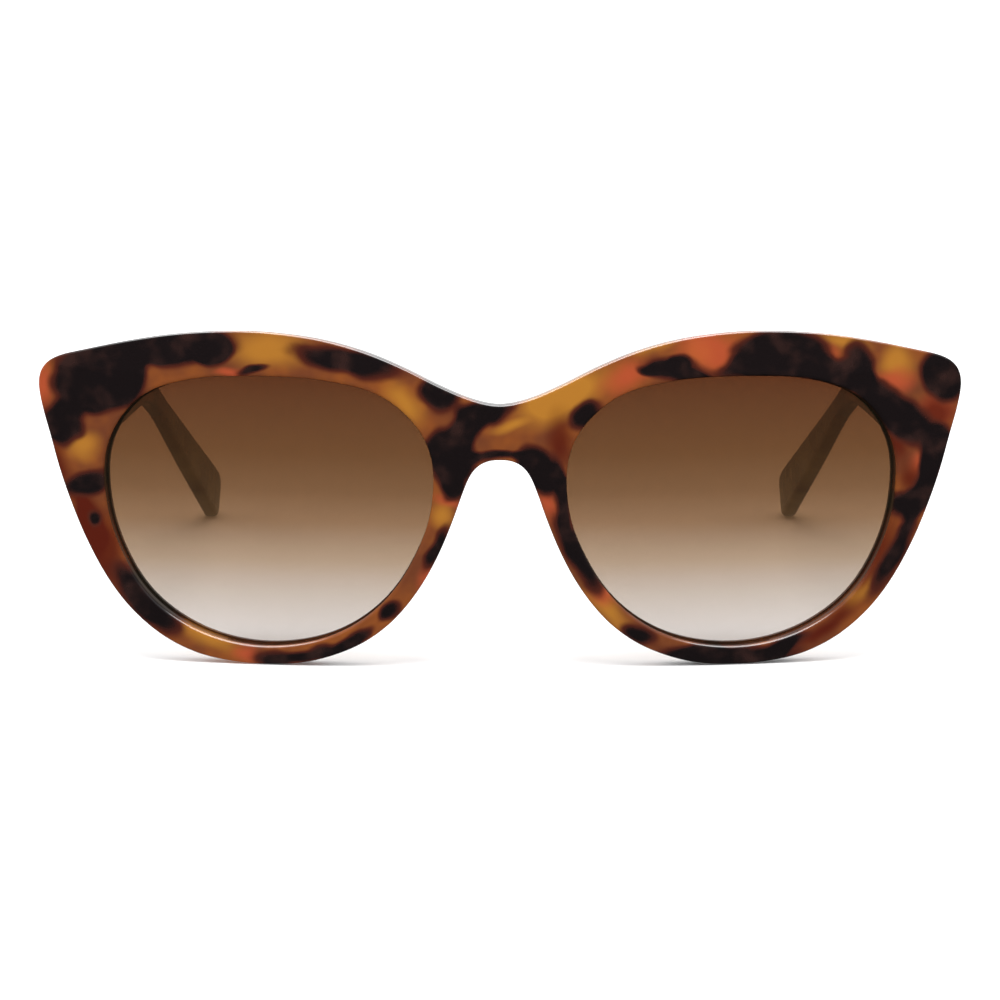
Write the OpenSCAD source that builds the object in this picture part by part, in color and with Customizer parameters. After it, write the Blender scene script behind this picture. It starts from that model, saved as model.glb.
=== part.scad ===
// Cat eye sunglasses, millimetres. +Z up, the front faces -Y, +X is the wearer's left.
// The sunglasses stand on the rim bottoms and the temple tips.

/* [Front] */
// Overall width of the front, corner to corner
front_w = 142; // [136:1:148]
// Height of the front, rim bottom to brow
front_h = 51.6; // [49:0.2:54]
// Thickness of the acetate front
front_t = 4; // [3.6:0.1:4.4]
// Radius of the spherical bend of the front face
face_r = 240; // [225:5:260]

/* [Lenses] */
// Thickness of each lens
lens_t = 2; // [1.6:0.1:2.2]
// Depth of the lens face behind the front face
lens_recess = 0.7; // [0.6:0.1:1.2]
// Depth of the groove that holds the lens edge
groove_d = 0.8; // [0.5:0.1:1]

/* [Temples] */
// Depth from the front face to the end of the temple tips
overall_depth = 150; // [146:1:154]
// Temple thickness at the hinge
temple_t_front = 4; // [3.6:0.1:4.4]
// Temple thickness at the tip
temple_t_tip = 2.6; // [2.4:0.1:3]
// Outer width across the temples at the hinges
temple_span = 132.8; // [130:0.2:134]
// Thickness of the flat core wire inside each temple
core_t = 1; // [0.8:0.1:1.2]
// Height of the flat core wire
core_h = 1.5; // [1.2:0.1:1.8]

/* [Hinges] */
// Outer diameter of the hinge barrels
barrel_d = 2.8; // [2.6:0.1:3]
// Height of one hinge barrel
barrel_h = 1.3; // [1.2:0.1:1.5]
// Diameter of the hinge screw
screw_d = 1.4; // [1.2:0.1:1.6]
// Thickness of the nylon hinge washers
washer_t = 0.3; // [0.2:0.05:0.4]
// Diameter of the rivets that hold the temple leaf
rivet_d = 1.2; // [1:0.1:1.4]
// Downward slope of the temples, and the tilt of the hinge axis
temple_drop = 4.5; // [3:0.5:6]

/* [Hidden] */
$fn = 48;

tortoise = [0.28, 0.12, 0.05];
lens_brown = [0.5, 0.34, 0.22, 0.7];
steel = [0.75, 0.75, 0.77];
nylon = [0.93, 0.92, 0.88];

// Clearance round a piece that is set into another
seat_gap = 0.03;
// Clearance between moving hinge faces
play = 0.03;
// Gap between the closed temple end and the front
end_gap = 0.1;
// Thickness of the cement between a nose pad and the rim
bond_gap = 0.02;

// Height of the centre of the spherical bend
bend_z = 26.5;
back_r = face_r - front_t;
sphere_fn = 360;

// Outline of the right half of the front, from the brow centre down round the rim
// to the bridge, as width and height on a front 142 wide and 51.6 high.
outline_half = [
    [0, 40.7], [4.5, 41.6], [9.5, 43.7], [15, 46.4], [21, 48.8], [28, 50.6], [36, 51.5],
    [43, 51.5], [50, 50.9], [57, 49.7], [64, 48.1], [67.5, 47.2], [69.6, 46.1], [70.8, 44.4],
    [71, 42], [70.3, 38.5], [69.3, 35], [67.8, 29.5], [65.9, 24], [63.6, 18.5], [60.5, 12.8],
    [56.8, 8], [52, 4], [46.5, 1.4], [40.5, 0.2], [36, 0], [31, 0.25], [26, 1.5], [21.2, 3.6],
    [17.2, 6.5], [14, 10], [11.3, 14], [9, 18.5], [7.1, 23.2], [5.8, 26.9], [4.6, 29.8],
    [3.3, 31.4], [1.6, 32.2], [0, 32.3]
];
// Radii of the lens opening every 20 degrees, from the temple side, turning upwards
lens_radii = [
    24.5, 25.5, 24.5, 21.5, 19.5, 19.5, 21.4, 24.8, 26.7,
    25.8, 24.5, 23.9, 23.3, 22.7, 22.6, 22.9, 23.4, 23.7
];
lens_step = 20;
lens_centre = [36.2, 25.5];

// Temple side view: upper and lower edge as depth and height, hinge end to tip
temple_top = [[8, 45.6], [30, 42.8], [55, 39.6], [78, 36.4], [88, 34.4], [96, 31.6], [104, 28.2], [122, 20], [148, 8.2]];
temple_end = [[149.3, 7.2], [150, 6], [149.4, 4.6], [147.6, 1.2], [146.8, 0.3], [145.8, 0], [144.8, 0.4]];
temple_bottom = [[142, 2], [122, 13.3], [106, 22.7], [98, 26.2], [90, 28.6], [80, 29.8], [55, 30.6], [30, 31], [8, 31.2]];
// Temple plan view: distance of the outer face inside its position at the hinge
temple_inset = [[8, -0.3], [15.6, 0], [92, 4.4], [97, 4.75], [104, 5.6], [150, 12.8]];
temple_plan = [[8, 0], [15.6, 0], [92, 0.9], [104, 1], [150, 1]];
temple_x = temple_span / 2;

hinge_z = 40.6;
hinge_off = 1.5;
hinge_x = temple_x - temple_t_front - hinge_off;
hinge_stand = 2.9;
hinge_y = face_r - sqrt(pow(back_r - hinge_stand, 2) - pow(hinge_x, 2) - pow(hinge_z - bend_z, 2));
hinge_wrap = asin(hinge_x / back_r);
washer_slot = washer_t + 2 * play;
stack_h = 5 * barrel_h + 2 * washer_slot + 4 * play;
knuckle_step = barrel_h + 2 * play;
front_knuckles = [-stack_h / 2, -barrel_h / 2, stack_h / 2 - barrel_h];
temple_knuckles = [-barrel_h / 2 - knuckle_step, barrel_h / 2 + 2 * play];
screw_bore = screw_d / 2 + play;
screw_head_d = 2.3;
screw_head_h = 0.8;
screw_slot_w = 0.35;
leaf_t = 1;
leaf_sink = 0.5;
leaf_start = 1.7;
leaf_len = 12;
leaf_h = 6.4;
leaf_turn = 2.3;
knuckle_arm_x = 0.5;
knuckle_arm_t = 0.8;
anchor_w = 2.8;
anchor_h = 5.2;
anchor_x = -1.9;
anchor_deep = 2.2;
pad_w = 3;
pad_t = 0.8;
rivet_pos = [4.9, 9.3];
rivet_head_d = 2.1;
rivet_head_h = 0.35;
rivet_flush = 0.02;
core_nodes = [29, 58, 84, 93, 104, 122, 139];

function cubic(a, b, c, d, t) =
    0.5 * (2 * b + (c - a) * t + (2 * a - 5 * b + 4 * c - d) * t * t + (3 * b - a - 3 * c + d) * t * t * t);
function closed_curve(p, n) =
    [for (i = [0 : len(p) - 1], k = [0 : n - 1])
        cubic(p[(i + len(p) - 1) % len(p)], p[i], p[(i + 1) % len(p)], p[(i + 2) % len(p)], k / n)];
function open_curve(p, n) =
    [for (i = [0 : len(p) - 2], k = [0 : n - 1])
        cubic(p[max(i - 1, 0)], p[i], p[i + 1], p[min(i + 2, len(p) - 1)], k / n), p[len(p) - 1]];
function both_halves(p) =
    concat(p, [for (i = [len(p) - 2 : -1 : 1]) [-p[i][0], p[i][1]]]);
function sized(p) = [for (q = p) [q[0] * front_w / 142, q[1] * front_h / 51.6]];
function lens_ring(grow) =
    let (r = closed_curve(lens_radii, 4), k = lens_step / 4)
    [for (i = [0 : len(r) - 1]) lens_centre + (r[i] + grow) * [cos(i * k), sin(i * k)]];
// Direction of an outline point on the front face, seen from the centre of the bend
function ray(q) = [q[0], q[1] - bend_z] / sqrt(face_r * face_r - q[0] * q[0] - pow(q[1] - bend_z, 2));

function edge_top(y) = lookup(y, temple_top);
function edge_bottom(y) = lookup(y, temple_bottom_up);
temple_bottom_up = [for (i = [len(temple_bottom) - 1 : -1 : 0]) temple_bottom[i]];
function temple_outer(y) = temple_x - lookup(y, temple_inset);
function temple_t(y) = temple_t_front - (temple_t_front - temple_t_tip) * lookup(y, temple_plan);

// Origin under the middle of the whole object
module centred() {
    translate([0, -overall_depth / 2, 0])
        children();
}

module side(s) {
    if (s < 0)
        mirror([1, 0, 0])
            children();
    else
        children();
}

// Solid whose walls run along the rays from the centre of the bend through an outline
module ray_solid(outline, near, far) {
    translate([0, face_r, bend_z])
        rotate([90, 0, 0])
            translate([0, 0, near])
                linear_extrude(height = far - near, scale = far / near)
                    polygon([for (q = outline) ray(q) * near]);
}

module bend_ball(r) {
    translate([0, face_r, bend_z])
        sphere(r, $fn = sphere_fn);
}

module lens_hole(grow, near, far) {
    ray_solid(sized(lens_ring(grow)), near, far);
}

module hinge_frame() {
    translate([hinge_x, hinge_y, hinge_z])
        rotate([-temple_drop, 0, 0])
            children();
}

// Foot of the front leaf, sunk into the back of the front
module front_anchor(grow) {
    rotate([0, 0, hinge_wrap]) {
        translate([-pad_w + 0.4 - grow, -hinge_stand - 0.4 - grow, -stack_h / 2 - grow])
            cube([pad_w + 2 * grow, pad_t + 2 * grow, stack_h + 2 * grow]);
        translate([anchor_x - grow, -hinge_stand - anchor_deep - grow, -anchor_h / 2 - grow])
            cube([anchor_w + 2 * grow, anchor_deep + 2 * grow, anchor_h + 2 * grow]);
    }
}

module front_frame() {
    centred()
        color(tortoise)
            difference() {
                intersection() {
                    ray_solid(sized(closed_curve(both_halves(outline_half), 3)), face_r - 40, face_r + 6);
                    bend_ball(face_r);
                }
                bend_ball(back_r);
                for (s = [-1, 1])
                    side(s) {
                        lens_hole(0, face_r - 44, face_r + 10);
                        intersection() {
                            difference() {
                                bend_ball(face_r - lens_recess + seat_gap);
                                bend_ball(face_r - lens_recess - lens_t - seat_gap);
                            }
                            lens_hole(groove_d + seat_gap, face_r - 44, face_r + 10);
                        }
                        hinge_frame()
                            front_anchor(seat_gap);
                    }
            }
}

module lens(s) {
    centred()
        side(s)
            color(lens_brown)
                difference() {
                    intersection() {
                        lens_hole(groove_d, face_r - 40, face_r + 6);
                        bend_ball(face_r - lens_recess);
                    }
                    bend_ball(face_r - lens_recess - lens_t);
                }
}

module left_lens() {
    lens(1);
}

module right_lens() {
    lens(-1);
}

// Nose pad bonded to the back of the rim, beside the bridge
module nose_pad(s) {
    centred()
        side(s)
            color(tortoise)
                intersection() {
                    bend_ball(back_r - bond_gap);
                    hull() {
                        translate([8.4, 3.6, 25.5])
                            sphere(1.4, $fn = 24);
                        translate([10.8, 3.6, 18])
                            sphere(1.5, $fn = 24);
                        translate([14.2, 3.8, 11.6])
                            sphere(1.3, $fn = 24);
                        translate([9.3, 8.2, 21])
                            sphere(1.2, $fn = 24);
                        translate([11.8, 8.4, 15])
                            sphere(1.2, $fn = 24);
                    }
                }
}

module left_nose_pad() {
    nose_pad(1);
}

module right_nose_pad() {
    nose_pad(-1);
}

module front_hinge(s) {
    centred()
        side(s)
            color(steel)
                hinge_frame()
                    difference() {
                        union() {
                            front_anchor(0);
                            for (z = front_knuckles)
                                translate([0, 0, z]) {
                                    cylinder(h = barrel_h, d = barrel_d);
                                    rotate([0, 0, hinge_wrap])
                                        translate([-barrel_d / 2, -hinge_stand + 0.2, 0])
                                            cube([barrel_d / 2 + 0.3, hinge_stand - 0.2, barrel_h]);
                                }
                        }
                        translate([0, 0, -stack_h])
                            cylinder(h = 2 * stack_h, r = screw_bore);
                        for (z = temple_knuckles)
                            translate([0, 0, z - play])
                                cylinder(h = knuckle_step, d = barrel_d + 0.2);
                    }
}

module left_front_hinge() {
    front_hinge(1);
}

module right_front_hinge() {
    front_hinge(-1);
}

module hinge_screw(s) {
    centred()
        side(s)
            color(steel)
                hinge_frame()
                    difference() {
                        union() {
                            translate([0, 0, -stack_h / 2 - 0.2])
                                cylinder(h = stack_h + 0.2 + play, d = screw_d);
                            translate([0, 0, stack_h / 2 + play])
                                cylinder(h = screw_head_h, d = screw_head_d);
                        }
                        translate([-screw_head_d, -screw_slot_w / 2, stack_h / 2 + play + screw_head_h / 2])
                            cube([2 * screw_head_d, screw_slot_w, screw_head_h]);
                    }
}

module left_hinge_screw() {
    hinge_screw(1);
}

module right_hinge_screw() {
    hinge_screw(-1);
}

// Nylon washer in the gap between an outer front barrel and a temple barrel
module washer(s, level) {
    centred()
        side(s)
            color(nylon)
                hinge_frame()
                    translate([0, 0, level * (stack_h / 2 - barrel_h - washer_slot / 2) - washer_t / 2])
                        difference() {
                            cylinder(h = washer_t, d = barrel_d);
                            translate([0, 0, -washer_t])
                                cylinder(h = 3 * washer_t, r = screw_bore);
                        }
}

module left_upper_washer() {
    washer(1, 1);
}

module right_upper_washer() {
    washer(-1, 1);
}

module left_lower_washer() {
    washer(1, -1);
}

module right_lower_washer() {
    washer(-1, -1);
}

// Plate of the temple leaf, half sunk into the temple's inner face
module leaf_plate(grow) {
    rotate([0, 0, leaf_turn])
        translate([hinge_off - leaf_t + leaf_sink - grow, leaf_start - grow, -leaf_h / 2 - grow])
            cube([leaf_t + 2 * grow, leaf_len - leaf_start + 2 * grow, leaf_h + 2 * grow]);
}

module temple_hinge(s) {
    centred()
        side(s)
            color(steel)
                hinge_frame()
                    difference() {
                        union() {
                            leaf_plate(0);
                            for (z = temple_knuckles)
                                translate([0, 0, z]) {
                                    cylinder(h = barrel_h, d = barrel_d);
                                    translate([knuckle_arm_x, 0, 0])
                                        cube([knuckle_arm_t, leaf_start + 0.5, barrel_h]);
                                }
                        }
                        translate([0, 0, -stack_h])
                            cylinder(h = 2 * stack_h, r = screw_bore);
                        for (y = rivet_pos)
                            rivet_body(y, rivet_d / 2 + play);
                    }
}

module left_temple_hinge() {
    temple_hinge(1);
}

module right_temple_hinge() {
    temple_hinge(-1);
}

// Shank of a rivet, square to the leaf, in the hinge's frame
module rivet_body(y, r) {
    rotate([0, 0, leaf_turn])
        translate([-2, y, 0])
            rotate([0, 90, 0])
                cylinder(h = 10, r = r);
}

// Everything inside the flat outer face of a temple
module inside_outer_face() {
    rows = [for (r = temple_inset) r[0]];
    linear_extrude(height = 100)
        polygon(concat(
            [[0, rows[0]]],
            [for (y = rows) [temple_outer(y) - rivet_flush, y]],
            [[0, rows[len(rows) - 1]]]
        ));
}

module rivet(s, y) {
    centred()
        side(s)
            color(steel)
                intersection() {
                    inside_outer_face();
                    hinge_frame()
                        rotate([0, 0, leaf_turn])
                            translate([hinge_off - leaf_t + leaf_sink, y, 0])
                                rotate([0, 90, 0]) {
                                    translate([0, 0, -rivet_head_h - play])
                                        cylinder(h = rivet_head_h, d = rivet_head_d);
                                    translate([0, 0, -rivet_head_h])
                                        cylinder(h = 2 * temple_t_front, d = rivet_d);
                                }
                }
}

module left_front_rivet() {
    rivet(1, rivet_pos[0]);
}

module right_front_rivet() {
    rivet(-1, rivet_pos[0]);
}

module left_rear_rivet() {
    rivet(1, rivet_pos[1]);
}

module right_rear_rivet() {
    rivet(-1, rivet_pos[1]);
}

function core_height(y) = (edge_top(y) + edge_bottom(y)) / 2;
function core_middle(y) = temple_outer(y) - temple_t(y) / 2;

// Flat core wire with its ends at the first and last of core_nodes, grown on every side
module core_path(grow) {
    ends = len(core_nodes) - 1;
    reach = [for (i = [0 : ends]) core_nodes[i] + (i == 0 ? -grow : i == ends ? grow : 0)];
    intersection() {
        rotate([90, 0, 90])
            linear_extrude(height = 100)
                polygon(concat(
                    [for (y = reach) [y, core_height(y) + core_h / 2 + grow]],
                    [for (i = [ends : -1 : 0]) [reach[i], core_height(reach[i]) - core_h / 2 - grow]]
                ));
        linear_extrude(height = 100)
            polygon(concat(
                [for (y = reach) [core_middle(y) + core_t / 2 + grow, y]],
                [for (i = [ends : -1 : 0]) [core_middle(reach[i]) - core_t / 2 - grow, reach[i]]]
            ));
    }
}

module core_wire(s) {
    centred()
        side(s)
            color(steel)
                core_path(0);
}

module left_core_wire() {
    core_wire(1);
}

module right_core_wire() {
    core_wire(-1);
}

module temple_side_view() {
    outline = concat(open_curve(temple_top, 3), temple_end, open_curve(temple_bottom, 3));
    rotate([90, 0, 90])
        linear_extrude(height = 100)
            polygon(outline);
}

module temple_plan_view() {
    rows = [for (r = temple_inset) r[0]];
    outline = concat(
        [for (y = rows) [temple_outer(y), y]],
        [for (i = [len(rows) - 1 : -1 : 0]) [temple_outer(rows[i]) - temple_t(rows[i]), rows[i]]]
    );
    linear_extrude(height = 100)
        polygon(outline);
}

module temple(s) {
    centred()
        side(s)
            color(tortoise)
                difference() {
                    intersection() {
                        temple_side_view();
                        temple_plan_view();
                        bend_ball(back_r - end_gap);
                    }
                    core_path(seat_gap);
                    hinge_frame() {
                        leaf_plate(seat_gap);
                        translate([0, 0, -stack_h])
                            cylinder(h = 2 * stack_h, d = barrel_d + 0.4);
                        translate([0, -hinge_stand, -stack_h / 2 - 0.3])
                            cube([hinge_off + 0.25, hinge_stand + 0.4, stack_h + 0.6]);
                        for (y = rivet_pos)
                            rivet_body(y, rivet_d / 2 + play);
                    }
                }
}

module left_temple() {
    temple(1);
}

module right_temple() {
    temple(-1);
}

front_frame();
left_lens();
right_lens();
left_nose_pad();
right_nose_pad();
left_front_hinge();
right_front_hinge();
left_hinge_screw();
right_hinge_screw();
left_upper_washer();
right_upper_washer();
left_lower_washer();
right_lower_washer();
left_temple();
right_temple();
left_core_wire();
right_core_wire();
left_temple_hinge();
right_temple_hinge();
left_front_rivet();
right_front_rivet();
left_rear_rivet();
right_rear_rivet();
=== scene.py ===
"""Cat eye sunglasses: acetate front and temples, gradient lenses and steel hinges.

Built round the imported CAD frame, in metres: the front faces -Y and +X is the wearer's left.
The front, the temples and the lenses are made anew from the outlines of the CAD solids, with
polished edges, and the nose pads are the CAD ones melted round. Hinges, screws, rivets, wires
and washers stay CAD nodes, and get broken edges and materials.
"""

import math

import bmesh
import bpy
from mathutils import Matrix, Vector
from mathutils.geometry import delaunay_2d_cdt
from mathutils.kdtree import KDTree


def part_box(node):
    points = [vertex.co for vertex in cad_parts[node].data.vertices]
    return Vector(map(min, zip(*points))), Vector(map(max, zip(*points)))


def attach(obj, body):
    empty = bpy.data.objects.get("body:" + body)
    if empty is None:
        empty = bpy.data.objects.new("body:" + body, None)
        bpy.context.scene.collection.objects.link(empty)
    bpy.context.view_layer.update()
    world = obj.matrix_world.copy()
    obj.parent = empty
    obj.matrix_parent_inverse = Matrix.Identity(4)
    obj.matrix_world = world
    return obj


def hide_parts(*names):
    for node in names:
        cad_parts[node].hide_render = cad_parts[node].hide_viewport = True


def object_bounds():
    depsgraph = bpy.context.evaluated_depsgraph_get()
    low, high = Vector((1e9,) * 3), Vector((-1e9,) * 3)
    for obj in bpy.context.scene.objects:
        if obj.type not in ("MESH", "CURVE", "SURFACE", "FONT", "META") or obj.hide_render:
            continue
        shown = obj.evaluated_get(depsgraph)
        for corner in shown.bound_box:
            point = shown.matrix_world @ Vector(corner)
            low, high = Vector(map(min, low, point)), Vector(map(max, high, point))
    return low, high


MM = 0.001
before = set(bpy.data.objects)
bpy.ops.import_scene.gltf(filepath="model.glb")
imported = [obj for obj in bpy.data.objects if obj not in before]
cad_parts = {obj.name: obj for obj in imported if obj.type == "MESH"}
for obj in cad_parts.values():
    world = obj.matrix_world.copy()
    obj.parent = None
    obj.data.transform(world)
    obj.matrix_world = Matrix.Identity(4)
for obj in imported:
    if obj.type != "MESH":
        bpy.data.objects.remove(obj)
cad_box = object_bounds()

# The front is a sheet bent to a sphere. These repeat the CAD model's driving sizes.
FACE_R = 240 * MM
FRONT_T = 4 * MM
LENS_RECESS = 0.7 * MM
LENS_T = 2 * MM
END_GAP = 0.1 * MM
FRONT_REACH = 75 * MM
MID_HEIGHT = 26.5 * MM
BEND_CENTRE = Vector((0, FACE_R - FRONT_REACH, MID_HEIGHT))

# A lens and its groove meet at less depth than in the CAD, so that the seat reads as a fine line
GROOVE = 0.28 * MM
GROOVE_PLAY = 0.03 * MM
LENS_TUCK = 0.55 * MM

# How the outlines of the CAD solids are read, and how closely they are followed
WELD = 2e-6
SAME_POINT = 1e-9
ON_SURFACE = 3e-5
FACING = 0.8
OUTLINE_STEP = 0.45 * MM
BORE_STEP = 0.15 * MM
FEWEST_STEPS = 12
OUTLINE_EASE = 2
GRID = 1.6 * MM
GRID_MARGIN = 0.8 * MM

# Polished edges
FRONT_EDGE = 0.4 * MM
OPENING_EDGE = 0.55 * MM
OPENING_BACK_EDGE = 0.8 * MM
LENS_EDGE = 0.12 * MM
TEMPLE_EDGE = 0.9 * MM
BUTT_EDGE = 0.25 * MM
BUTT_FADE = 4 * MM
RIVET_HOLE_EDGE = 0.05 * MM
METAL_BEVEL = 0.06 * MM
EDGE_LAND = 0.12 * MM
EDGE_STEPS = 5
SHARP_ANGLE = math.radians(50)

# Faces of the temples
RAIL_DIP = 0.1 * MM
RAIL_SPREAD = [k * MM for k in (-6, -3, 0, 3, 6)]
SKIN_DEPTH = 0.4 * MM
FLUSH_LENGTH = 2 * MM
FLUSH_FADE = 10 * MM

# Nose pads
PAD_VOXEL = 0.3 * MM
PAD_MELT = 0.6
PAD_MELT_ROUNDS = 26
PAD_SETBACK = 0.3 * MM
PAD_NUDGE = 0.05 * MM
PAD_SNAP = 0.5 * MM
PAD_GLUE = 0.02 * MM

SIDES = (("left", 1), ("right", -1))


# ---------------------------------------------------------------- outlines

def loops_of(obj, on_face):
    """Closed outlines of the faces of a CAD node that on_face picks, longest first."""
    bm = bmesh.new()
    bm.from_mesh(obj.data)
    bmesh.ops.remove_doubles(bm, verts=bm.verts, dist=WELD)
    skin = {f for f in bm.faces if on_face(f)}
    links = {}
    for e in bm.edges:
        if sum(f in skin for f in e.link_faces) == 1:
            a, b = e.verts
            links.setdefault(a, []).append(b)
            links.setdefault(b, []).append(a)
    loops = []
    seen = set()
    for start in links:
        if start in seen:
            continue
        loop, here = [], start
        while here is not None:
            seen.add(here)
            loop.append(here.co.copy())
            here = next((v for v in links[here] if v not in seen), None)
        loops.append(loop)
    bm.free()
    return sorted(loops, key=lambda p: -loop_length(p))


def loop_length(points):
    return sum((points[i] - points[i - 1]).length for i in range(len(points)))


def signed_area(points):
    return sum(
        points[i - 1].x * points[i].y - points[i].x * points[i - 1].y for i in range(len(points))
    ) / 2


def even_loop(points, step, ease):
    """The same closed outline with points at even steps, its facets eased into a curve."""
    total = loop_length(points)
    count = max(FEWEST_STEPS, round(total / step))
    walked, out = 0.0, []
    for i in range(len(points)):
        a, b = points[i - 1], points[i]
        span = (b - a).length
        while len(out) < count and len(out) * total / count <= walked + span:
            out.append(a.lerp(b, (len(out) * total / count - walked) / span if span else 0))
        walked += span
    for _ in range(ease):
        out = [(out[i - 1] + 2 * out[i] + out[(i + 1) % len(out)]) / 4 for i in range(len(out))]
    return out


def facing(points, sign):
    """The outline turned so that its solid lies on the left of it."""
    return points if signed_area(points) * sign > 0 else points[::-1]


def inside(points, p):
    """Whether a point lies within a closed outline."""
    crossings = 0
    for i, b in enumerate(points):
        a = points[i - 1]
        if (a.y > p.y) != (b.y > p.y) and p.x < a.x + (b.x - a.x) * (p.y - a.y) / (b.y - a.y):
            crossings += 1
    return crossings % 2 == 1


def for_each(value, points):
    """One value for each point, from a list of them or from a single value."""
    return value if isinstance(value, list) else [value] * len(points)


def inset(points, distance):
    """The outline moved into the solid, by one distance or by one for each point."""
    out = []
    for i, (p, d) in enumerate(zip(points, for_each(distance, points))):
        along = points[(i + 1) % len(points)] - points[i - 1]
        out.append(p + Vector((-along.y, along.x)).normalized() * d)
    return out


def grid_between(flat, openings):
    """Staggered grid points that are clear of all outline points and outside the openings."""
    tree = KDTree(len(flat))
    for i, p in enumerate(flat):
        tree.insert((p.x, p.y, 0), i)
    tree.balance()
    lo = Vector((min(p.x for p in flat), min(p.y for p in flat)))
    hi = Vector((max(p.x for p in flat), max(p.y for p in flat)))
    grid = []
    for j in range(int((hi.y - lo.y) / GRID) + 1):
        for i in range(int((hi.x - lo.x) / GRID) + 1):
            p = lo + Vector((i + 0.5 * (j % 2), j)) * GRID
            clear = tree.find((p.x, p.y, 0))[2] > GRID_MARGIN
            if clear and not any(inside(opening, p) for opening in openings):
                grid.append(p)
    return grid


# ---------------------------------------------------------------- slabs

class Slab:
    """A plate between two surfaces, with rounded outlines. place(u, v, depth, back) maps it."""

    def __init__(self, place):
        self.place = place
        self.bm = bmesh.new()
        self.first = []
        self.last = []

    def wall(self, outline, radius, groove=(), back_radius=None):
        """Side wall round an outline, from the front surface to the back one, with a narrow flat
        land beside each rounded edge. groove has (inset, depth) steps between the edges."""
        radii = for_each(radius, outline)
        back_radii = for_each(back_radius, outline) if back_radius else radii
        rings = [self.ring(outline, [r + EDGE_LAND for r in radii], 0.0, False)]
        rings += self.edge(outline, radii, False)
        rings += [self.ring(outline, step_in, depth, False) for step_in, depth in groove]
        rings += self.edge(outline, back_radii, True)
        rings.append(self.ring(outline, [r + EDGE_LAND for r in back_radii], 0.0, True))
        for (a, _), (b, _) in zip(rings, rings[1:]):
            for i in range(len(outline)):
                self.bm.faces.new((a[i - 1], a[i], b[i], b[i - 1]))
        self.first.append(rings[0])
        self.last.append(rings[-1])

    def edge(self, outline, radii, back):
        """Rings of a quarter-round edge, in the order in which the wall meets them."""
        angles = [math.pi / 2 * k / EDGE_STEPS for k in range(EDGE_STEPS + 1)]
        rings = []
        for angle in angles[::-1] if back else angles:
            insets = [(1 - math.sin(angle)) * r for r in radii]
            depths = [(1 - math.cos(angle)) * r for r in radii]
            rings.append(self.ring(outline, insets, depths, back))
        return rings

    def ring(self, outline, insets, depths, back):
        """New vertices round an outline that is moved in and down, and their flat places."""
        flat = inset(outline, insets)
        verts = []
        for p, depth in zip(flat, for_each(depths, outline)):
            verts.append(self.bm.verts.new(self.place(p.x, p.y, depth, back)))
        return verts, flat

    def skin(self, rings, back):
        """Surface between the outlines, on a fine grid so that it follows the bend."""
        verts, flat, edges, owner = [], [], [], []
        for k, (ring, points) in enumerate(rings):
            start = len(flat)
            verts += ring
            flat += points
            owner += [k] * len(points)
            edges += [(start + i, start + (i + 1) % len(points)) for i in range(len(points))]
        grid = grid_between(flat, [points for _, points in rings[1:]])
        verts += [None] * len(grid)
        flat += grid
        owner += [-1] * len(grid)
        points, _, faces, source, _, _ = delaunay_2d_cdt(flat, edges, [], 2, SAME_POINT)
        made = []
        for k, p in enumerate(points):
            vert = verts[source[k][0]] if source[k] else None
            made.append(vert or self.bm.verts.new(self.place(p.x, p.y, 0, back)))
        for f in faces:
            corners = [made[k] for k in f]
            owners = {owner[source[k][0]] if source[k] else -1 for k in f}
            spans_opening = len(owners) == 1 and min(owners) > 0
            if not spans_opening and len(set(corners)) == 3:
                self.bm.faces.new(corners)

    def finish(self, name):
        self.skin(self.first, False)
        self.skin(self.last, True)
        loose = [v for v in self.bm.verts if not v.link_faces]
        bmesh.ops.delete(self.bm, geom=loose, context="VERTS")
        bmesh.ops.recalc_face_normals(self.bm, faces=self.bm.faces)
        return piece_from(self.bm, name)


def piece_from(bm, name):
    mesh = bpy.data.meshes.new(name)
    bm.to_mesh(mesh)
    bm.free()
    mesh.shade_smooth()
    mesh.set_sharp_from_angle(angle=SHARP_ANGLE)
    piece = bpy.data.objects.new(name, mesh)
    bpy.context.scene.collection.objects.link(piece)
    weighted = piece.modifiers.new("even_shading", "WEIGHTED_NORMAL")
    weighted.keep_sharp = True
    return piece


# ---------------------------------------------------------------- front and lenses

def to_sheet(p):
    """Place of a point on the flat pattern of the bent sheet."""
    d = p - BEND_CENTRE
    return Vector((d.x, d.z)) * (FACE_R / -d.y)


def on_sheet(radius, thickness):
    """Mapping from the flat pattern to a bent sheet of this outer radius."""
    def place(u, v, depth, back):
        r = radius - thickness + depth if back else radius - depth
        return BEND_CENTRE + Vector((u, -FACE_R, v)).normalized() * r
    return place


def sheet_outlines(node, radius):
    """Outlines of a CAD solid on the sphere of this radius, laid flat, the outer one first."""
    def on_face(f):
        return all(abs((v.co - BEND_CENTRE).length - radius) < ON_SURFACE for v in f.verts)

    outlines = []
    for loop in loops_of(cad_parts[node], on_face):
        points = facing([to_sheet(p) for p in loop], -1 if outlines else 1)
        outlines.append(even_loop(points, OUTLINE_STEP, OUTLINE_EASE))
    return outlines


def make_front():
    outline, *openings = sheet_outlines("front_frame", FACE_R)
    slab = Slab(on_sheet(FACE_R, FRONT_T))
    slab.wall(outline, FRONT_EDGE)
    near, far = LENS_RECESS - GROOVE_PLAY, LENS_RECESS + LENS_T + GROOVE_PLAY
    groove = [(0, near), (GROOVE, near), (GROOVE, far), (0, far)]
    for opening in openings:
        slab.wall(opening, OPENING_EDGE, groove, OPENING_BACK_EDGE)
    return slab.finish("front_frame_acetate")


def make_lens(side):
    outline = sheet_outlines(f"{side}_lens", FACE_R - LENS_RECESS)[0]
    slab = Slab(on_sheet(FACE_R - LENS_RECESS, LENS_T))
    slab.wall(inset(outline, LENS_TUCK), LENS_EDGE)
    return slab.finish(f"{side}_gradient_lens")


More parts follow.
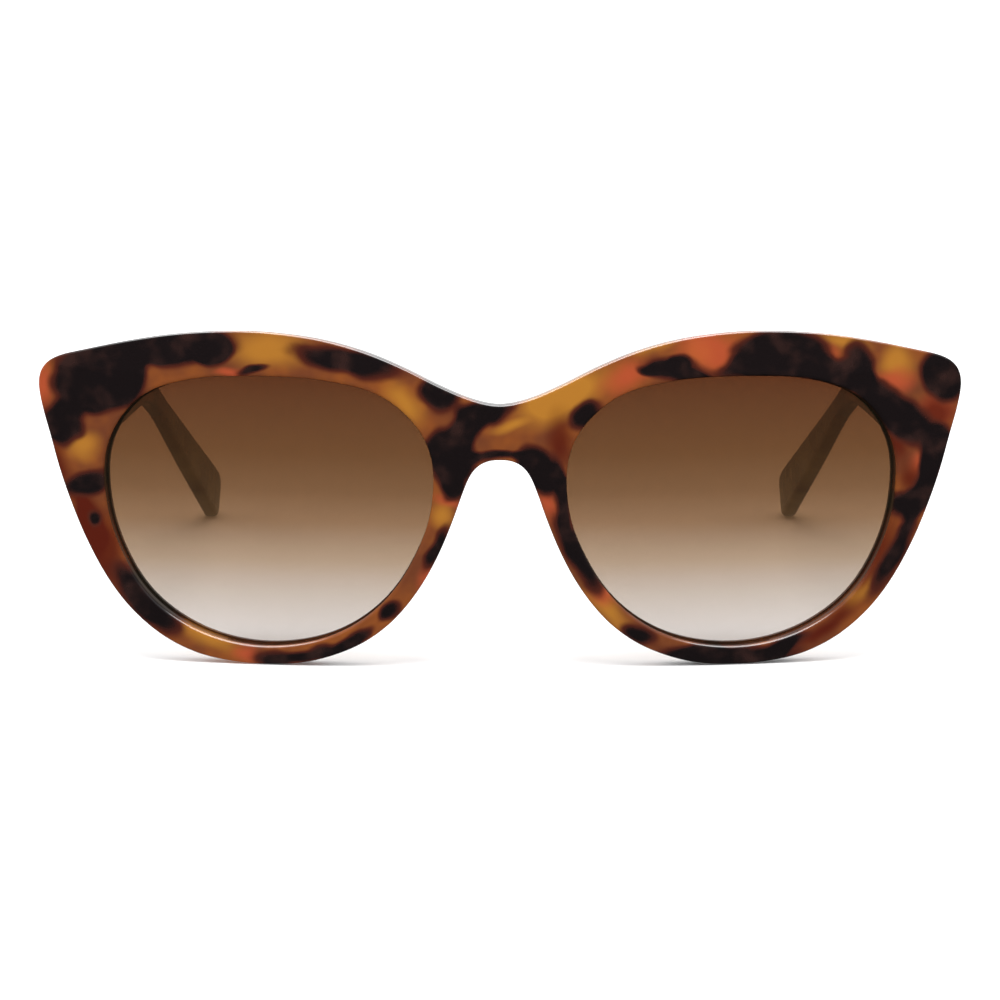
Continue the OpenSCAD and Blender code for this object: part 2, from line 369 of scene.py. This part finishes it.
# ---------------------------------------------------------------- temples

def rail(node, side, outward):
    """Distance of a temple's outer or inner face from the middle, as (depth, distance) rows.

    Rows that dip under their neighbours belong to the core wire's channel or to the hinge pocket,
    and go."""
    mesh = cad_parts[node].data
    rows = {}
    for f in mesh.polygons:
        if f.normal.x * side * outward < FACING:
            continue
        for k in f.vertices:
            co = mesh.vertices[k].co
            key, x = round(co.y / MM), co.x * side
            if key not in rows or outward * x > outward * rows[key][1]:
                rows[key] = (co.y, x)
    kept = [rows[key] for key in sorted(rows)]
    dip = first_dip(kept, outward)
    while dip:
        kept.remove(dip)
        dip = first_dip(kept, outward)
    return kept


def first_dip(rows, outward):
    """The first row that lies well under the line between its neighbours, if any does."""
    for a, b, c in zip(rows, rows[1:], rows[2:]):
        if outward * (lookup([a, c], b[0]) - b[1]) > RAIL_DIP:
            return b
    return None


def lookup(rows, y):
    """Distance at a depth, on straight lines between the rows."""
    if y <= rows[0][0]:
        return rows[0][1]
    for (y0, x0), (y1, x1) in zip(rows, rows[1:]):
        if y <= y1:
            return x0 + (x1 - x0) * (y - y0) / (y1 - y0)
    return rows[-1][1]


def smooth(t):
    t = min(1, max(0, t))
    return t * t * (3 - 2 * t)


def back_of_front(x, z):
    """Depth at which the end of a temple meets the back of the front."""
    r = FACE_R - FRONT_T - END_GAP
    return BEND_CENTRE.y - math.sqrt(r * r - x * x - (z - BEND_CENTRE.z) ** 2)


def make_temple(side, s):
    node = f"{side}_temple"
    outer_rows, inner_rows = rail(node, s, 1), rail(node, s, -1)
    hinge_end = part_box(node)[0].y

    def face_x(rows, y):
        return sum(lookup(rows, y + k) for k in RAIL_SPREAD) / len(RAIL_SPREAD)

    def place(y, z, depth, back):
        outer = face_x(outer_rows, y)
        x = face_x(inner_rows, y) + depth if back else outer - depth
        near_front = 1 - smooth((y - hinge_end - FLUSH_LENGTH) / FLUSH_FADE)
        shift = back_of_front(x, z) - back_of_front(outer, z)
        return Vector((s * x, y + near_front * shift, z))

    def on_outer_face(f):
        centre = f.calc_center_median()
        on_skin = centre.x * s > face_x(outer_rows, centre.y) - SKIN_DEPTH
        return f.normal.x * s > FACING and on_skin

    loops = loops_of(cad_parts[node], on_outer_face)
    rim, *bores = [[Vector((p.y, p.z)) for p in loop] for loop in loops]
    outline = even_loop(facing(rim, 1), OUTLINE_STEP, OUTLINE_EASE)
    butt = min(p.x for p in outline)
    growth = TEMPLE_EDGE - BUTT_EDGE
    slab = Slab(place)
    slab.wall(outline, [BUTT_EDGE + growth * smooth((p.x - butt) / BUTT_FADE) for p in outline])
    for bore in bores:
        slab.wall(even_loop(facing(bore, -1), BORE_STEP, 0), RIVET_HOLE_EDGE)
    return slab.finish(f"{side}_temple_acetate")


# ---------------------------------------------------------------- nose pads

def melted(source, name):
    """A new piece with the shape of a CAD node, every edge melted round."""
    piece = bpy.data.objects.new(name, source.data.copy())
    bpy.context.scene.collection.objects.link(piece)
    remesh = piece.modifiers.new("even_mesh", "REMESH")
    remesh.mode = "VOXEL"
    remesh.voxel_size = PAD_VOXEL
    soften = piece.modifiers.new("melted_edges", "SMOOTH")
    soften.factor = PAD_MELT
    soften.iterations = PAD_MELT_ROUNDS
    graph = bpy.context.evaluated_depsgraph_get()
    done = bpy.data.meshes.new_from_object(piece.evaluated_get(graph))
    piece.modifiers.clear()
    piece.data = done
    return piece


def make_nose_pad(side, s):
    """The CAD pad, melted round, flat where it is bonded and clear of the lens opening."""
    piece = melted(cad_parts[f"{side}_nose_pad"], f"{side}_nose_pad_acetate")
    openings = sheet_outlines("front_frame", FACE_R)[1:]
    opening = next(points for points in openings if points[0].x * s > 0)
    clear_of = inset(opening, PAD_SETBACK)
    bond = FACE_R - FRONT_T - PAD_GLUE
    for v in piece.data.vertices:
        while inside(clear_of, to_sheet(v.co)):
            v.co.x -= s * PAD_NUDGE
        d = v.co - BEND_CENTRE
        if d.length > bond - PAD_SNAP:
            v.co = BEND_CENTRE + d.normalized() * bond
    piece.data.shade_smooth()
    return piece


# ---------------------------------------------------------------- node helpers

class Nodes:
    """Short names for building a node tree."""

    def __init__(self, tree):
        self.tree = tree
        tree.nodes.clear()

    def add(self, kind, inputs=None, **settings):
        node = self.tree.nodes.new(kind)
        for key, value in settings.items():
            setattr(node, key, value)
        for key, value in (inputs or {}).items():
            if isinstance(value, bpy.types.NodeSocket):
                self.tree.links.new(value, node.inputs[key])
            else:
                node.inputs[key].default_value = value
        return node

    def math(self, operation, a, b=0.0, clamp=False):
        node = self.add("ShaderNodeMath", {0: a, 1: b}, operation=operation, use_clamp=clamp)
        return node.outputs[0]

    def vector(self, operation, a, b):
        return self.add("ShaderNodeVectorMath", {0: a, 1: b}, operation=operation).outputs[0]

    def choose(self, factor, a, b):
        """The number a where the factor is 0, and b where it is 1."""
        inputs = {0: factor, 2: a, 3: b}
        return self.add("ShaderNodeMix", inputs, data_type="FLOAT").outputs[0]

    def bump(self, height, strength, distance):
        inputs = {"Strength": strength, "Distance": distance, "Height": height}
        return self.add("ShaderNodeBump", inputs).outputs[0]

    def in_mm(self, value):
        return self.math("MULTIPLY", value, 1 / MM)

    def mix(self, factor, a, b):
        """The colour a where the factor is 0, and b where it is 1."""
        node = self.add("ShaderNodeMix", data_type="RGBA", clamp_factor=True)
        for socket, value in ((node.inputs[0], factor), (node.inputs[6], a), (node.inputs[7], b)):
            if isinstance(value, bpy.types.NodeSocket):
                self.tree.links.new(value, socket)
            else:
                socket.default_value = value
        return node.outputs[2]

    def step(self, value, low, high, to_low=0.0, to_high=1.0):
        """A soft step between two levels of a value."""
        inputs = {0: value, 1: low, 2: high, 3: to_low, 4: to_high}
        return self.add("ShaderNodeMapRange", inputs, interpolation_type="SMOOTHSTEP").outputs[0]

    def noise(self, vector, scale, detail=2.0, roughness=0.5):
        inputs = {"Vector": vector, "Scale": scale, "Detail": detail, "Roughness": roughness}
        return self.add("ShaderNodeTexNoise", inputs)


def srgb(r, g, b):
    """Linear colour of an 8-bit display colour."""
    def linear(c):
        c /= 255
        return c / 12.92 if c <= 0.04045 else ((c + 0.055) / 1.055) ** 2.4
    return (linear(r), linear(g), linear(b), 1.0)


def new_material(name):
    material = bpy.data.materials.new(name)
    material.use_nodes = True
    return material, Nodes(material.node_tree)


# ---------------------------------------------------------------- tortoiseshell

# Soft spots in the acetate, with one spot of painted light among the front's yellow ones, as
# (across, up, half length, half width, turn), in millimetres and degrees. On the front, across
# is +X; on the temples it is +Y.
FRONT_DARK = [
    # end piece and top of the -X rim
    (-61.5, 43, 7.4, 4.6, 6), (-58, 48.6, 10, 2.6, 9), (-52, 48.8, 6, 1.9, 9),
    (-67.4, 36.6, 3.4, 3.4, -30), (-59, 44.6, 4.2, 2.8, 0), (-48, 48.6, 7.4, 2.6, 8),
    (-43.6, 48.4, 2.3, 2.3, 0), (-37.6, 45.8, 2.2, 0.6, 5),
    # outer side, bottom and nose side of the -X rim
    (-63.3, 27.6, 4.2, 1.8, 18), (-62.3, 21.9, 0.9, 1.4, 0), (-54.4, 9.6, 7, 2.5, -46),
    (-34, 1.2, 3.6, 1.2, 0), (-27, 2.3, 3.6, 1.1, 14), (-22, 4.4, 2.6, 0.9, 32),
    (-16.9, 8.6, 1.7, 1.1, 48), (-9.8, 18.4, 3.5, 1, 65),
    # bridge and both sides of it
    (-23.2, 47.5, 7.8, 2.1, -11), (-9.5, 42.3, 2.9, 2.3, -35), (-7.8, 33, 3.7, 4.6, 8),
    (-5.2, 38, 2.2, 2.6, -30), (-2, 39.9, 3.6, 1.8, 10), (-7.2, 28, 1.6, 1.7, -20),
    (-0.8, 33.1, 4, 0.6, 0), (5.3, 31.8, 2.9, 2.9, 0), (7.2, 29, 1.8, 2.2, 0),
    (9.3, 27.4, 4.6, 0.8, -85),
    # nose side and bottom of the +X rim
    (11.7, 18.1, 6.4, 2, -61), (21.5, 5.1, 2.4, 1.3, -25), (37.2, 1.2, 9, 1.8, 0),
    (30, 1.6, 4.6, 1.5, -6), (44, 3, 3, 1, 20),
    # top of the +X rim
    (13.2, 39.1, 2.4, 1.7, 35), (26, 46, 4.2, 1.8, -8), (27, 47, 1.3, 1.2, 0),
    (23.5, 46.2, 2.2, 0.8, 10), (43.2, 48, 7.6, 3.8, -6), (36.9, 46, 4.2, 1.4, 6),
    (50, 44.4, 4.6, 1.3, -18), (30, 44.7, 1.8, 0.8, -20), (52, 45, 3.4, 1.6, -25),
    (55, 45.8, 2.1, 3.4, 8),
    # end piece and outer side of the +X rim
    (60.7, 38.6, 8.4, 3, -37), (68.4, 44.4, 4.2, 4.2, 0), (66.8, 33, 1.8, 3.2, -20),
    (66.6, 29.4, 1.4, 4.4, -20), (64.6, 27, 1.3, 5, -18), (62.4, 24.4, 3.6, 1.9, 10),
    (60.6, 16.4, 6.4, 1.5, 60),
]
FRONT_YELLOW = [
    (-35.2, 49, 5.4, 2.6, 0), (-64, 33.4, 2, 1.8, -20), (-14.6, 41, 3, 1.6, -50),
    (-8.7, 24, 1.4, 2, 0), (9.8, 41.7, 6.8, 2.6, 28), (8.4, 42, 4.4, 1.8, 24),
    (1.2, 37.4, 2.2, 0.6, 10), (22, 50, 7, 1, 16), (30.5, 48.4, 1.6, 1.3, 0),
    (52.4, 49.9, 3, 0.8, -10), (60.8, 46.4, 2.2, 2.2, 0), (16.5, 9.3, 4.4, 1.2, -47),
    # The spot at -45.5 across and 4 up is painted light: a lighter patch for floor light on the
    # bottom of the -X rim
    (55.6, 10.8, 2.2, 0.9, 45), (-45.5, 4, 4.6, 1.1, -22),
]
FRONT_RED = [
    (-70.2, 42.6, 1, 3, -8), (-41, 45.4, 2, 0.5, 6), (-8, 26.3, 1.8, 0.6, -25),
    (19.2, 44.8, 3.2, 1.7, 26), (32, 48.7, 4.4, 2.6, 0), (50.5, 47.2, 1.6, 1.6, 0),
    (60.4, 43.6, 2.2, 1.4, 0), (66.6, 38.4, 2.4, 2.4, 0), (64.4, 30.4, 1.2, 1.7, 0),
    (62.4, 21.2, 0.8, 1.8, -20), (-38.9, 1.5, 1.6, 1, 0), (7.3, 26, 3, 1, -70),
    (15.2, 12, 2, 1.2, -50), (-10.5, 14.5, 2.4, 1.2, 55),
]
FRONT_DEEP = [
    (-61.5, 18, 2.8, 7, 18), (-70.3, 36.5, 1.2, 3, -8), (63.2, 28.4, 1.6, 2, 0),
    (-61.2, 44.5, 2, 1.2, 0), (66.6, 38, 2.8, 2.8, 0), (9.4, 35.2, 1.6, 3.6, 0),
    (58, 17, 5.6, 1.6, 62), (47, 3.4, 3.6, 1.4, 22), (52.4, 7, 3.4, 1.3, 40),
    (61, 34, 1.6, 2.6, 10), (-68, 30, 1.4, 5, 16), (-63.7, 23, 1.4, 4.4, 16),
]
TEMPLE_DARK = [
    (-56, 41, 5, 3.6, 20), (-45, 34, 5, 2, -10), (-37, 41, 5, 2, 10), (-28, 36, 4, 2.6, -30),
    (-15, 39.5, 6, 1.8, -15), (-11, 32, 4, 1.5, 10), (0, 36, 4.5, 2.4, 30), (12, 34, 5, 1.6, -20),
    (20, 30, 3, 1.6, 0),
]
TEMPLE_YELLOW = [
    (-50, 37, 4, 2.4, 0), (-33, 33, 4, 2, 0), (-22, 41, 4, 2, 0), (-7, 35, 4, 2, 20),
    (8, 31, 4, 2, 0),
]
TEMPLE_RED = [
    (-41, 38, 3, 2, 0), (-20, 33.5, 4, 1.6, 0), (5, 38, 3, 1.6, 0), (16, 32, 3, 1.6, 0),
]
TEMPLE_DEEP = [(-30, 40, 6, 2, 0), (2, 32, 6, 2, -10)]

# Half the width of a spot's soft edge in millimetres, the most that it takes of a spot's own
# half width, and the share by which spots wait for each other
DARK_SOFTNESS = 1.3
COLOUR_SOFTNESS = 1.6
MOST_SOFT = 0.9
CHAIN = 1e-7

# How far the spots are pulled out of shape, how ragged the edges of the dark ones are, and where
# along Y the temples turn plain, in millimetres
FRONT_WARP = 2.4
TEMPLE_WARP = 7.0
RAGGEDNESS = 0.08
PLAIN_START = 8
PLAIN_END = 42
PLAIN_STRAY = 16.0

# Noise scales of the acetate, per millimetre, and of its polish, per metre
RIPPLE_SCALE = 0.18
CLOUD_SCALE = 0.09
SMOKE_SCALE = 0.22
FINE_SCALE = 0.9
POLISH_SCALE = 900.0

NEAR_BLACK = srgb(24, 18, 19)
CHARCOAL = srgb(50, 32, 29)
FRINGE = srgb(78, 34, 24)
BROWN = srgb(105, 57, 35)
AMBER = srgb(137, 75, 34)
YELLOW = srgb(172, 114, 42)
RED_ORANGE = srgb(174, 76, 46)
DEEP_RED = srgb(84, 27, 15)
OLIVE = srgb(156, 147, 118)
OLIVE_BROWN = srgb(130, 114, 86)


def spots(n, place, table, softness):
    """Sum of soft ellipses: 1 inside a spot, 0 well outside. Each spot waits for the sum so far,
    by a share too small to see, because a wide tree of nodes is more than the renderer holds."""
    total = 0.0
    for across, up, length, width, turn in table:
        inputs = {1: (CHAIN,) * 3, 2: place}
        start = n.add("ShaderNodeVectorMath", inputs, operation="MULTIPLY_ADD")
        if isinstance(total, bpy.types.NodeSocket):
            n.tree.links.new(total, start.inputs[0])
        inputs = {
            "Vector": start.outputs[0],
            "Location": (across, up, 0),
            "Rotation": (0, 0, math.radians(turn)),
            "Scale": (length, width, 1),
        }
        local = n.add("ShaderNodeMapping", inputs, vector_type="TEXTURE").outputs[0]
        distance = n.add("ShaderNodeVectorMath", {0: local}, operation="LENGTH").outputs["Value"]
        soft = min(MOST_SOFT, softness / min(length, width))
        total = n.math("ADD", n.step(distance, 1 + soft, 1 - soft), total)
    return total


def rippled(n, coords, flat, warp):
    """The flat place in the pattern, pulled about by a slow ripple through the sheet."""
    whole = n.vector("MULTIPLY", coords, (1 / MM,) * 3)
    ripple = n.noise(whole, RIPPLE_SCALE, 1.0).outputs["Color"]
    centred = n.vector("SUBTRACT", ripple, (0.5, 0.5, 0.5))
    return n.vector("ADD", flat, n.vector("MULTIPLY", centred, (warp, warp, 0)))


def tortoiseshell(n, flat, place, fine, dark, yellow, red, deep):
    """Colour of the acetate: clouds, then coloured spots, then dark ones with a red fringe. One
    of the front's yellow spots is painted light rather than the acetate's own colour.

    The cloud and the smoke come back with it, for the plain parts."""
    cloud = n.step(n.noise(flat, CLOUD_SCALE, 3.0, 0.6).outputs[0], 0.35, 0.65)
    colour = n.mix(cloud, BROWN, AMBER)
    layers = ((yellow, YELLOW, 0.9), (red, RED_ORANGE, 0.85), (deep, DEEP_RED, 0.9))
    for table, tint, share in layers:
        cover = n.math("MULTIPLY", spots(n, place, table, COLOUR_SOFTNESS), share, True)
        colour = n.mix(cover, colour, tint)
    ragged = n.math("MULTIPLY", n.math("SUBTRACT", fine, 0.5), RAGGEDNESS)
    depth = n.math("ADD", spots(n, place, dark, DARK_SOFTNESS), ragged)
    smoke = n.step(n.noise(flat, SMOKE_SCALE, 2.0).outputs[0], 0.45, 0.75)
    colour = n.mix(n.step(depth, 0.1, 0.55), colour, FRINGE)
    colour = n.mix(n.step(depth, 0.4, 0.9), colour, n.mix(smoke, NEAR_BLACK, CHARCOAL))
    return colour, cloud, smoke


def plain_ends(n, colour, cloud, smoke, run):
    """The same colour with the ear parts of the temples in a plain, faintly clouded olive."""
    pale = n.mix(cloud, OLIVE, OLIVE_BROWN)
    pale = n.mix(n.math("MULTIPLY", smoke, 0.45), pale, BROWN)
    stray = n.math("MULTIPLY", n.math("SUBTRACT", cloud, 0.5), PLAIN_STRAY)
    edge = n.step(n.math("ADD", run, stray), PLAIN_START, PLAIN_END)
    return n.mix(edge, colour, pale)


def acetate(name, across, dark, yellow, red, deep, warp, plain=False):
    """Polished tortoiseshell sheet. across is the axis that the pattern runs along with Z."""
    material, n = new_material(name)
    coords = n.add("ShaderNodeTexCoord").outputs["Object"]
    axes = n.add("ShaderNodeSeparateXYZ", {0: coords}).outputs
    run, up = n.in_mm(axes[across]), n.in_mm(axes[2])
    flat = n.add("ShaderNodeCombineXYZ", {0: run, 1: up}).outputs[0]
    fine = n.noise(flat, FINE_SCALE, 4.0, 0.65).outputs[0]
    place = rippled(n, coords, flat, warp)
    colour, cloud, smoke = tortoiseshell(n, flat, place, fine, dark, yellow, red, deep)
    if plain:
        colour = plain_ends(n, colour, cloud, smoke, run)
    polish = n.noise(coords, POLISH_SCALE, 3.0).outputs[0]
    shader = n.add("ShaderNodeBsdfPrincipled", {
        "Base Color": colour,
        "Roughness": n.step(fine, 0.2, 0.8, 0.07, 0.12),
        "IOR": 1.48,
        "Normal": n.bump(polish, 0.03, 0.02 * MM),
        "Coat Weight": 0.3,
        "Coat Roughness": 0.03,
    })
    n.add("ShaderNodeOutputMaterial", {0: shader.outputs[0]})
    return material


# ---------------------------------------------------------------- other materials

# Tint of the lens at each height above the floor, in millimetres, as a display colour
LENS_TINT = [
    (5, (187, 181, 177)), (10, (171, 161, 152)), (16.3, (145, 125, 106)), (22.4, (117, 90, 67)),
    (27, (99, 71, 48)), (33, (86, 56, 33)), (44, (72, 38, 20)),
]

# Unevenness of the tint: its noise scale, per metre, and its share of the tint's whole height
TINT_GRAIN_SCALE = 60.0
TINT_GRAIN = 0.02

# Faint veil of light that the lens surface itself gives back
LENS_VEIL = srgb(165, 148, 116)
VEIL_SHARE = 0.04

# A reflection weaker than the glass's own, as of a coated lens
LENS_IOR = 1.3

# Fine lines in the steel: noise scales, per metre, along and across them, and how dark they are
ALONG_LINES = 3000.0
ACROSS_LINES = 30000.0
LINE_SHADE = 0.82


def tint_at_height(n, coords):
    """Share of the light that one face of the lens lets through: two faces make the whole tint."""
    up = n.add("ShaderNodeSeparateXYZ", {0: coords}).outputs[2]
    low, high = LENS_TINT[0][0], LENS_TINT[-1][0]
    height = n.math("DIVIDE", n.math("SUBTRACT", n.in_mm(up), low), high - low)
    grain = n.math("SUBTRACT", n.noise(coords, TINT_GRAIN_SCALE, 2.0).outputs[0], 0.5)
    height = n.math("ADD", height, n.math("MULTIPLY", grain, TINT_GRAIN))
    ramp = n.add("ShaderNodeValToRGB", {0: height})
    stops = ramp.color_ramp.elements
    while len(stops) < len(LENS_TINT):
        stops.new(0.5)
    for stop, (level, colour) in zip(stops, LENS_TINT):
        stop.position = (level - low) / (high - low)
        stop.color = srgb(*colour)
    return n.add("ShaderNodeGamma", {"Color": ramp.outputs[0], "Gamma": 0.5}).outputs[0]


def tinted_lens():
    material, n = new_material("gradient_tint")
    coords = n.add("ShaderNodeTexCoord").outputs["Object"]
    clear = n.add("ShaderNodeBsdfTransparent", {0: tint_at_height(n, coords)})
    gloss = n.add("ShaderNodeBsdfGlossy", {"Color": (1, 1, 1, 1), "Roughness": 0.02})
    veil = n.add("ShaderNodeBsdfDiffuse", {"Color": LENS_VEIL})
    facing_out = n.math("SUBTRACT", 1.0, n.add("ShaderNodeNewGeometry").outputs["Backfacing"])
    mirror = n.add("ShaderNodeFresnel", {"IOR": LENS_IOR}).outputs[0]
    mirror = n.math("MULTIPLY", mirror, facing_out)
    haze = n.math("MULTIPLY", facing_out, VEIL_SHARE)
    hazy = n.add("ShaderNodeMixShader", {0: haze, 1: clear.outputs[0], 2: veil.outputs[0]})
    shader = n.add("ShaderNodeMixShader", {0: mirror, 1: hazy.outputs[0], 2: gloss.outputs[0]})
    n.add("ShaderNodeOutputMaterial", {0: shader.outputs[0]})
    return material


def satin_steel(name, colour, grain_axis):
    """Turned or rolled steel with fine lines across grain_axis."""
    material, n = new_material(name)
    coords = n.add("ShaderNodeTexCoord").outputs["Object"]
    stretch = [ALONG_LINES] * 3
    stretch[grain_axis] = ACROSS_LINES
    drawn = n.add("ShaderNodeMapping", {"Vector": coords, "Scale": stretch}).outputs[0]
    lines = n.noise(drawn, 1.0, 3.0).outputs[0]
    shade = tuple(LINE_SHADE * c for c in colour[:3]) + (1,)
    shader = n.add("ShaderNodeBsdfPrincipled", {
        "Base Color": n.mix(n.step(lines, 0.3, 0.7), shade, colour),
        "Metallic": 1.0,
        "Roughness": n.step(lines, 0.2, 0.8, 0.2, 0.36),
        "Normal": n.bump(lines, 0.15, 0.01 * MM),
    })
    n.add("ShaderNodeOutputMaterial", {0: shader.outputs[0]})
    return material


def natural_nylon():
    material, n = new_material("natural_nylon")
    coords = n.add("ShaderNodeTexCoord").outputs["Object"]
    grain = n.noise(coords, 4000.0, 3.0).outputs[0]
    shader = n.add("ShaderNodeBsdfPrincipled", {
        "Base Color": n.mix(grain, srgb(226, 221, 205), srgb(240, 237, 228)),
        "Roughness": 0.45,
        "Normal": n.bump(grain, 0.1, 0.02 * MM),
    })
    n.add("ShaderNodeOutputMaterial", {0: shader.outputs[0]})
    return material


def coat(piece, material):
    piece.data.materials.clear()
    piece.data.materials.append(material)


# ---------------------------------------------------------------- studio

CAMERA_REACH = 0.7
CAMERA_LIFT = math.radians(9)


def make_camera():
    """The photographer's view: 9 degrees above level, 0.7 m before the front."""
    aim = Vector((0, cad_box[0].y, MID_HEIGHT))
    camera = bpy.data.objects.new("camera", bpy.data.cameras.new("camera"))
    bpy.context.scene.collection.objects.link(camera)
    camera.location = aim + Vector((0, -CAMERA_REACH, CAMERA_REACH * math.tan(CAMERA_LIFT)))
    camera.rotation_euler = (aim - camera.location).to_track_quat("-Z", "Y").to_euler()
    camera.data.lens = 168
    camera.data.sensor_width = 36
    camera.data.shift_y = -0.0015
    camera.data.clip_start = 0.01
    bpy.context.scene.camera = camera


def make_fill():
    """Wide soft light from the front, left out of reflections."""
    light = bpy.data.objects.new("front_fill", bpy.data.lights.new("front_fill", "AREA"))
    bpy.context.scene.collection.objects.link(light)
    light.location = (0, -1.4, 0.6)
    aim = Vector((0, -0.07, 0.03))
    light.rotation_euler = (aim - light.location).to_track_quat("-Z", "Y").to_euler()
    light.data.shape = "RECTANGLE"
    light.data.size = 1.4
    light.data.size_y = 1.0
    light.data.energy = 4.7
    light.visible_glossy = False
    light.visible_camera = False


def make_overhead():
    """Broad light from above and a little in front, which gives the soft shadow."""
    sun = bpy.data.objects.new("overhead", bpy.data.lights.new("overhead", "SUN"))
    bpy.context.scene.collection.objects.link(sun)
    sun.data.energy = 2.0
    sun.data.angle = math.radians(36)
    sun.rotation_euler = (math.radians(14), 0, 0)
    sun.visible_glossy = False


def make_floor():
    floor_mesh = bpy.data.meshes.new("floor")
    reach = 6.0
    corners = [(-reach, -reach, 0), (reach, -reach, 0), (reach, reach, 0), (-reach, reach, 0)]
    floor_mesh.from_pydata(corners, [], [(0, 1, 2, 3)])
    floor = bpy.data.objects.new("floor", floor_mesh)
    bpy.context.scene.collection.objects.link(floor)
    floor.visible_glossy = False
    floor.visible_diffuse = False
    material, n = new_material("pale_floor")
    shader = n.add("ShaderNodeBsdfDiffuse", {"Color": (0.92, 0.92, 0.92, 1)})
    n.add("ShaderNodeOutputMaterial", {0: shader.outputs[0]})
    coat(floor, material)


# Strengths of the parts of the world, where the backdrop has 1
BACK_LIGHT = 1.2
BOUNCE_LIGHT = 1.6
SIDE_LIGHT = 1.5
SOFTBOX = 11.0
MIRRORED_ROOM = 0.65
MIRRORED_GLOW = 0.03


def make_world():
    """White backdrop, soft light all round, and in reflections a dimmer room with one softbox
    overhead, so that the polished front keeps its depth. Each part fades in with the
    direction's x, y or z."""
    world = bpy.data.worlds.new("studio")
    bpy.context.scene.world = world
    world.use_nodes = True
    n = Nodes(world.node_tree)
    direction = n.add("ShaderNodeTexCoord").outputs["Generated"]
    x, y, z = n.add("ShaderNodeSeparateXYZ", {0: direction}).outputs
    above = n.step(z, 0.3, 0.75)
    behind = n.math("MULTIPLY", n.step(y, 0.1, 0.7), BACK_LIGHT)
    room = n.math("MAXIMUM", above, behind)
    bounce = n.math("MULTIPLY", n.step(z, 0.0, -0.6), BOUNCE_LIGHT)
    sides = n.step(n.math("ABSOLUTE", x), 0.4, 0.9, 0.0, SIDE_LIGHT)
    soft = n.math("ADD", room, n.math("MAXIMUM", bounce, sides))
    softbox = n.math("MULTIPLY", n.step(z, 0.8, 0.9), SOFTBOX)
    dim = n.math("MULTIPLY", room, MIRRORED_ROOM)
    shine = n.math("ADD", dim, n.math("ADD", softbox, MIRRORED_GLOW))
    ray = n.add("ShaderNodeLightPath").outputs
    level = n.choose(ray["Is Glossy Ray"], soft, shine)
    strength = n.choose(ray["Is Camera Ray"], level, 1.0)
    backdrop = n.add("ShaderNodeBackground", {"Color": (1, 1, 1, 1), "Strength": strength})
    n.add("ShaderNodeOutputWorld", {0: backdrop.outputs[0]})


def make_studio():
    make_floor()
    make_world()
    make_fill()
    make_overhead()
    view = bpy.context.scene.view_settings
    view.view_transform = "Standard"
    view.look = "None"


# ---------------------------------------------------------------- the sunglasses

def dress_metal():
    """Materials and broken edges for the CAD pieces that stay: all the metal and the washers."""
    plate = satin_steel("rolled_steel", srgb(196, 196, 200), 2)
    turned = satin_steel("turned_steel", srgb(206, 204, 200), 2)
    wire = satin_steel("drawn_wire", srgb(186, 188, 192), 1)
    nylon = natural_nylon()
    looks = {
        "hinge": plate,
        "hinge_screw": turned,
        "rivet": turned,
        "core_wire": wire,
        "washer": nylon,
    }
    for name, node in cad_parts.items():
        match = [key for key in looks if name.endswith(key)]
        if not match:
            continue
        coat(node, looks[max(match, key=len)])
        bevel = node.modifiers.new("broken_edges", "BEVEL")
        bevel.width = METAL_BEVEL
        bevel.segments = 2
        bevel.limit_method = "ANGLE"
        bevel.angle_limit = math.radians(40)
        bevel.harden_normals = True


def make_sunglasses():
    front_spots = (FRONT_DARK, FRONT_YELLOW, FRONT_RED, FRONT_DEEP)
    temple_spots = (TEMPLE_DARK, TEMPLE_YELLOW, TEMPLE_RED, TEMPLE_DEEP)
    shell = acetate("tortoise_front", 0, *front_spots, FRONT_WARP)
    arms = acetate("tortoise_temples", 1, *temple_spots, TEMPLE_WARP, plain=True)
    tint = tinted_lens()

    front = make_front()
    coat(front, shell)
    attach(front, "front")
    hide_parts("front_frame")
    for side, s in SIDES:
        lens = make_lens(side)
        coat(lens, tint)
        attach(lens, "front")
        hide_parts(f"{side}_lens")

        pad = make_nose_pad(side, s)
        coat(pad, shell)
        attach(pad, "front")
        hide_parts(f"{side}_nose_pad")

        temple = make_temple(side, s)
        coat(temple, arms)
        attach(temple, f"{side}_arm")
        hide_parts(f"{side}_temple")
    dress_metal()


make_camera()
make_studio()
make_sunglasses()
